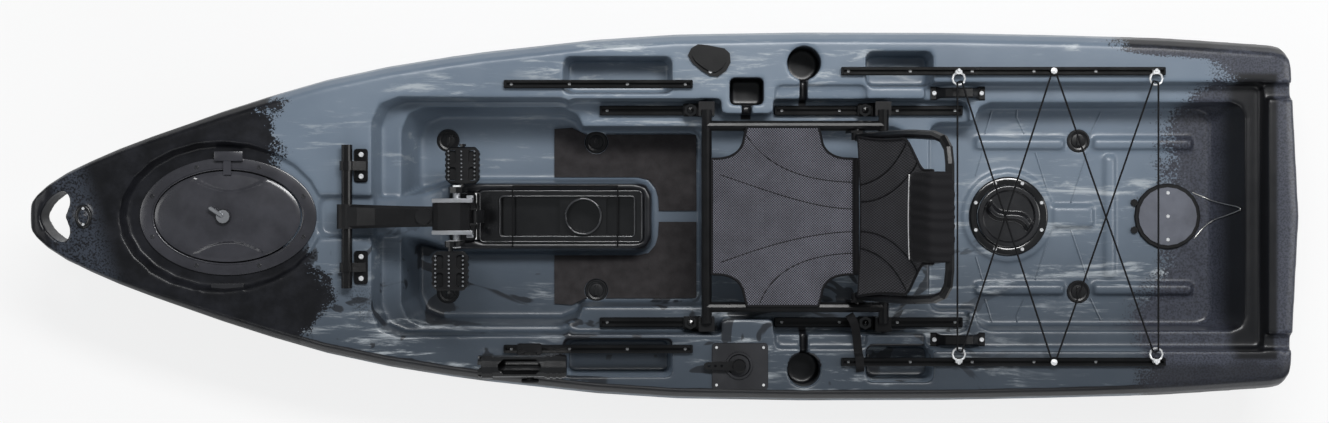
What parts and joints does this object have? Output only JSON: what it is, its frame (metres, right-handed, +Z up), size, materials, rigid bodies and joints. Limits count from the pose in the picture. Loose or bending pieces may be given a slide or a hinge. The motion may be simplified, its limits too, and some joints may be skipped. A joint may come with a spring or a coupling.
{
  "type": "pedal kayak",
  "caption": "Sit-on-top pedal kayak with a swing-up crank drive and folding propeller leg, sliding frame seat with folding back, rudder, hatches, gear tracks and rod holders.",
  "frame": {"origin": "middle of the kayak's length and beam, on the ground under the keel", "axes": "-X towards the bow, +Y to starboard, +Z up"},
  "size_m": [3.05, 0.9, 0.7725],
  "materials": {
    "hull": "moulded, blue-grey with black ends and pale streaks",
    "black_plastic": "moulded, satin",
    "gloss_black_plastic": "polished",
    "grey_plastic": "moulded, satin",
    "black_metal": "black anodised",
    "silver_metal": "brushed",
    "foam": "brushed foam sheet",
    "mesh_cloth": "woven mesh with pale binding",
    "black_cord": "braided",
    "pale_cord": "braided"
  },
  "bodies": {
    "hull_body": {"hull": "hull", "bow_hatch_ring": "black_plastic", "round_hatch_ring": "black_plastic", "foot_mat_starboard": "foam", "foot_mat_port": "foam", "pivot_bar": "black_metal", "bar_clamp_starboard": "black_metal", "bar_clamp_port": "black_metal", "leg_bracket": "silver_metal", "well_tray": "gloss_black_plastic", "tray_cord": "black_cord", "rail_fore_starboard": "black_metal", "rail_fore_port": "black_metal", "rail_aft_starboard": "black_metal", "rail_aft_port": "black_metal", "seat_rail_front_starboard": "black_metal", "seat_rail_front_port": "black_metal", "seat_rail_rear_starboard": "black_metal", "seat_rail_rear_port": "black_metal", "carry_handle_starboard": "black_plastic", "carry_handle_port": "black_plastic", "cargo_cord": "black_cord", "steering_plate": "black_plastic", "rudder_plate": "grey_plastic", "rudder_line": "pale_cord", "rod_holder_base": "black_plastic", "flush_rod_holder": "black_plastic"},
    "bow_lid_body": {"bow_hatch_lid": "black_plastic"},
    "bow_latch_body": {"bow_hatch_latch": "silver_metal"},
    "round_lid_body": {"round_hatch_lid": "gloss_black_plastic"},
    "drive_body": {"drive_arm": "black_plastic", "gear_housing": "silver_metal"},
    "drive_latch_body": {"drive_latch": "black_plastic"},
    "crank_body": {"crank_axle": "silver_metal", "crank_starboard": "black_metal", "crank_port": "black_metal"},
    "pedal_starboard_body": {"pedal_starboard": "black_plastic"},
    "pedal_port_body": {"pedal_port": "black_plastic"},
    "leg_body": {"drive_leg": "black_plastic"},
    "propeller_body": {"propeller": "black_plastic"},
    "seat_body": {"seat_frame": "black_metal", "seat_sling": "mesh_cloth", "seat_strap": "black_cord", "clamp_front_starboard": "black_plastic", "clamp_front_port": "black_plastic", "clamp_rear_starboard": "black_plastic", "clamp_rear_port": "black_plastic"},
    "back_body": {"back_frame": "black_metal", "back_sling": "mesh_cloth", "head_pad": "mesh_cloth"},
    "knob_front_starboard_body": {"knob_front_starboard": "gloss_black_plastic"},
    "knob_front_port_body": {"knob_front_port": "gloss_black_plastic"},
    "knob_rear_starboard_body": {"knob_rear_starboard": "gloss_black_plastic"},
    "knob_rear_port_body": {"knob_rear_port": "gloss_black_plastic"},
    "lever_body": {"steering_lever": "black_plastic"},
    "stock_body": {"rudder_stock": "silver_metal"},
    "blade_body": {"rudder_blade": "black_plastic"},
    "rod_cradle_body": {"rod_holder_cradle": "gloss_black_plastic"},
    "rod_knob_body": {"rod_holder_knob": "black_plastic"}
  },
  "joints": [
    {"name": "bow_lid", "type": "hinge", "parent": "hull_body", "child": "bow_lid_body", "pos_m": [-1.052, 0.147, 0.327], "axis": [-1, 0, 0], "range_deg": [0, 110]},
    {"name": "bow_latch", "type": "hinge", "parent": "bow_lid_body", "child": "bow_latch_body", "pos_m": [-1.059, 0, 0.34], "axis": [0, 0, 1], "range_deg": [0, 90]},
    {"name": "round_lid", "type": "hinge", "parent": "hull_body", "child": "round_lid_body", "pos_m": [0.845, 0, 0.168], "axis": [0, 0, 1], "range_deg": [0, 90]},
    {"name": "drive_lift", "type": "hinge", "parent": "hull_body", "child": "drive_body", "pos_m": [-0.763, 0, 0.344], "axis": [0, -1, 0], "range_deg": [0, 60]},
    {"name": "drive_latch", "type": "hinge", "parent": "drive_body", "child": "drive_latch_body", "pos_m": [-0.455, 0, 0.378], "axis": [0, -1, 0], "range_deg": [0, 80]},
    {"name": "crank", "type": "hinge", "parent": "drive_body", "child": "crank_body", "pos_m": [-0.497, 0, 0.385], "axis": [0, 1, 0], "continuous": true},
    {"name": "pedal_starboard", "type": "hinge", "parent": "crank_body", "child": "pedal_starboard_body", "pos_m": [-0.497, 0.124, 0.245], "axis": [0, 1, 0], "continuous": true},
    {"name": "pedal_port", "type": "hinge", "parent": "crank_body", "child": "pedal_port_body", "pos_m": [-0.497, -0.124, 0.525], "axis": [0, 1, 0], "continuous": true},
    {"name": "leg_fold", "type": "hinge", "parent": "hull_body", "child": "leg_body", "pos_m": [-0.505, 0, 0.062], "axis": [0, 1, 0], "range_deg": [0, 90]},
    {"name": "propeller", "type": "hinge", "parent": "leg_body", "child": "propeller_body", "pos_m": [-0.23, 0, 0.021], "axis": [0, 0, 1], "continuous": true},
    {"name": "seat_slide", "type": "slide", "parent": "hull_body", "child": "seat_body", "axis": [1, 0, 0], "range_m": [-0.2, 0]},
    {"name": "back_fold", "type": "hinge", "parent": "seat_body", "child": "back_body", "pos_m": [0.452, 0, 0.345], "axis": [0, -1, 0], "range_deg": [0, 100]},
    {"name": "knob_front_starboard", "type": "hinge", "parent": "seat_body", "child": "knob_front_starboard_body", "pos_m": [0.057, 0.258, 0.26], "axis": [0, 0, 1], "continuous": true},
    {"name": "knob_front_port", "type": "hinge", "parent": "seat_body", "child": "knob_front_port_body", "pos_m": [0.057, -0.258, 0.26], "axis": [0, 0, 1], "continuous": true},
    {"name": "knob_rear_starboard", "type": "hinge", "parent": "seat_body", "child": "knob_rear_starboard_body", "pos_m": [0.481, 0.258, 0.26], "axis": [0, 0, 1], "continuous": true},
    {"name": "knob_rear_port", "type": "hinge", "parent": "seat_body", "child": "knob_rear_port_body", "pos_m": [0.481, -0.258, 0.26], "axis": [0, 0, 1], "continuous": true},
    {"name": "steering", "type": "hinge", "parent": "hull_body", "child": "lever_body", "pos_m": [0.173, -0.358, 0.315], "axis": [0, 0, 1], "range_deg": [-40, 40]},
    {"name": "rudder_turn", "type": "hinge", "parent": "hull_body", "child": "stock_body", "pos_m": [1.24, 0, 0.05], "axis": [0, 0, 1], "range_deg": [-35, 35]},
    {"name": "rudder_lift", "type": "hinge", "parent": "stock_body", "child": "blade_body", "pos_m": [1.24, 0, 0.044], "axis": [0, 1, 0], "range_deg": [0, 90]},
    {"name": "rod_tilt", "type": "hinge", "parent": "hull_body", "child": "rod_cradle_body", "pos_m": [-0.326, -0.33, 0.345], "axis": [0, 1, 0], "range_deg": [0, 30]},
    {"name": "rod_knob", "type": "hinge", "parent": "hull_body", "child": "rod_knob_body", "pos_m": [-0.326, -0.36, 0.345], "axis": [0, 1, 0], "continuous": true}
  ],
  "couplings": [
    {"joint": "propeller", "follows": "crank", "ratio": 8},
    {"joint": "rudder_turn", "follows": "steering", "ratio": 0.8}
  ]
}
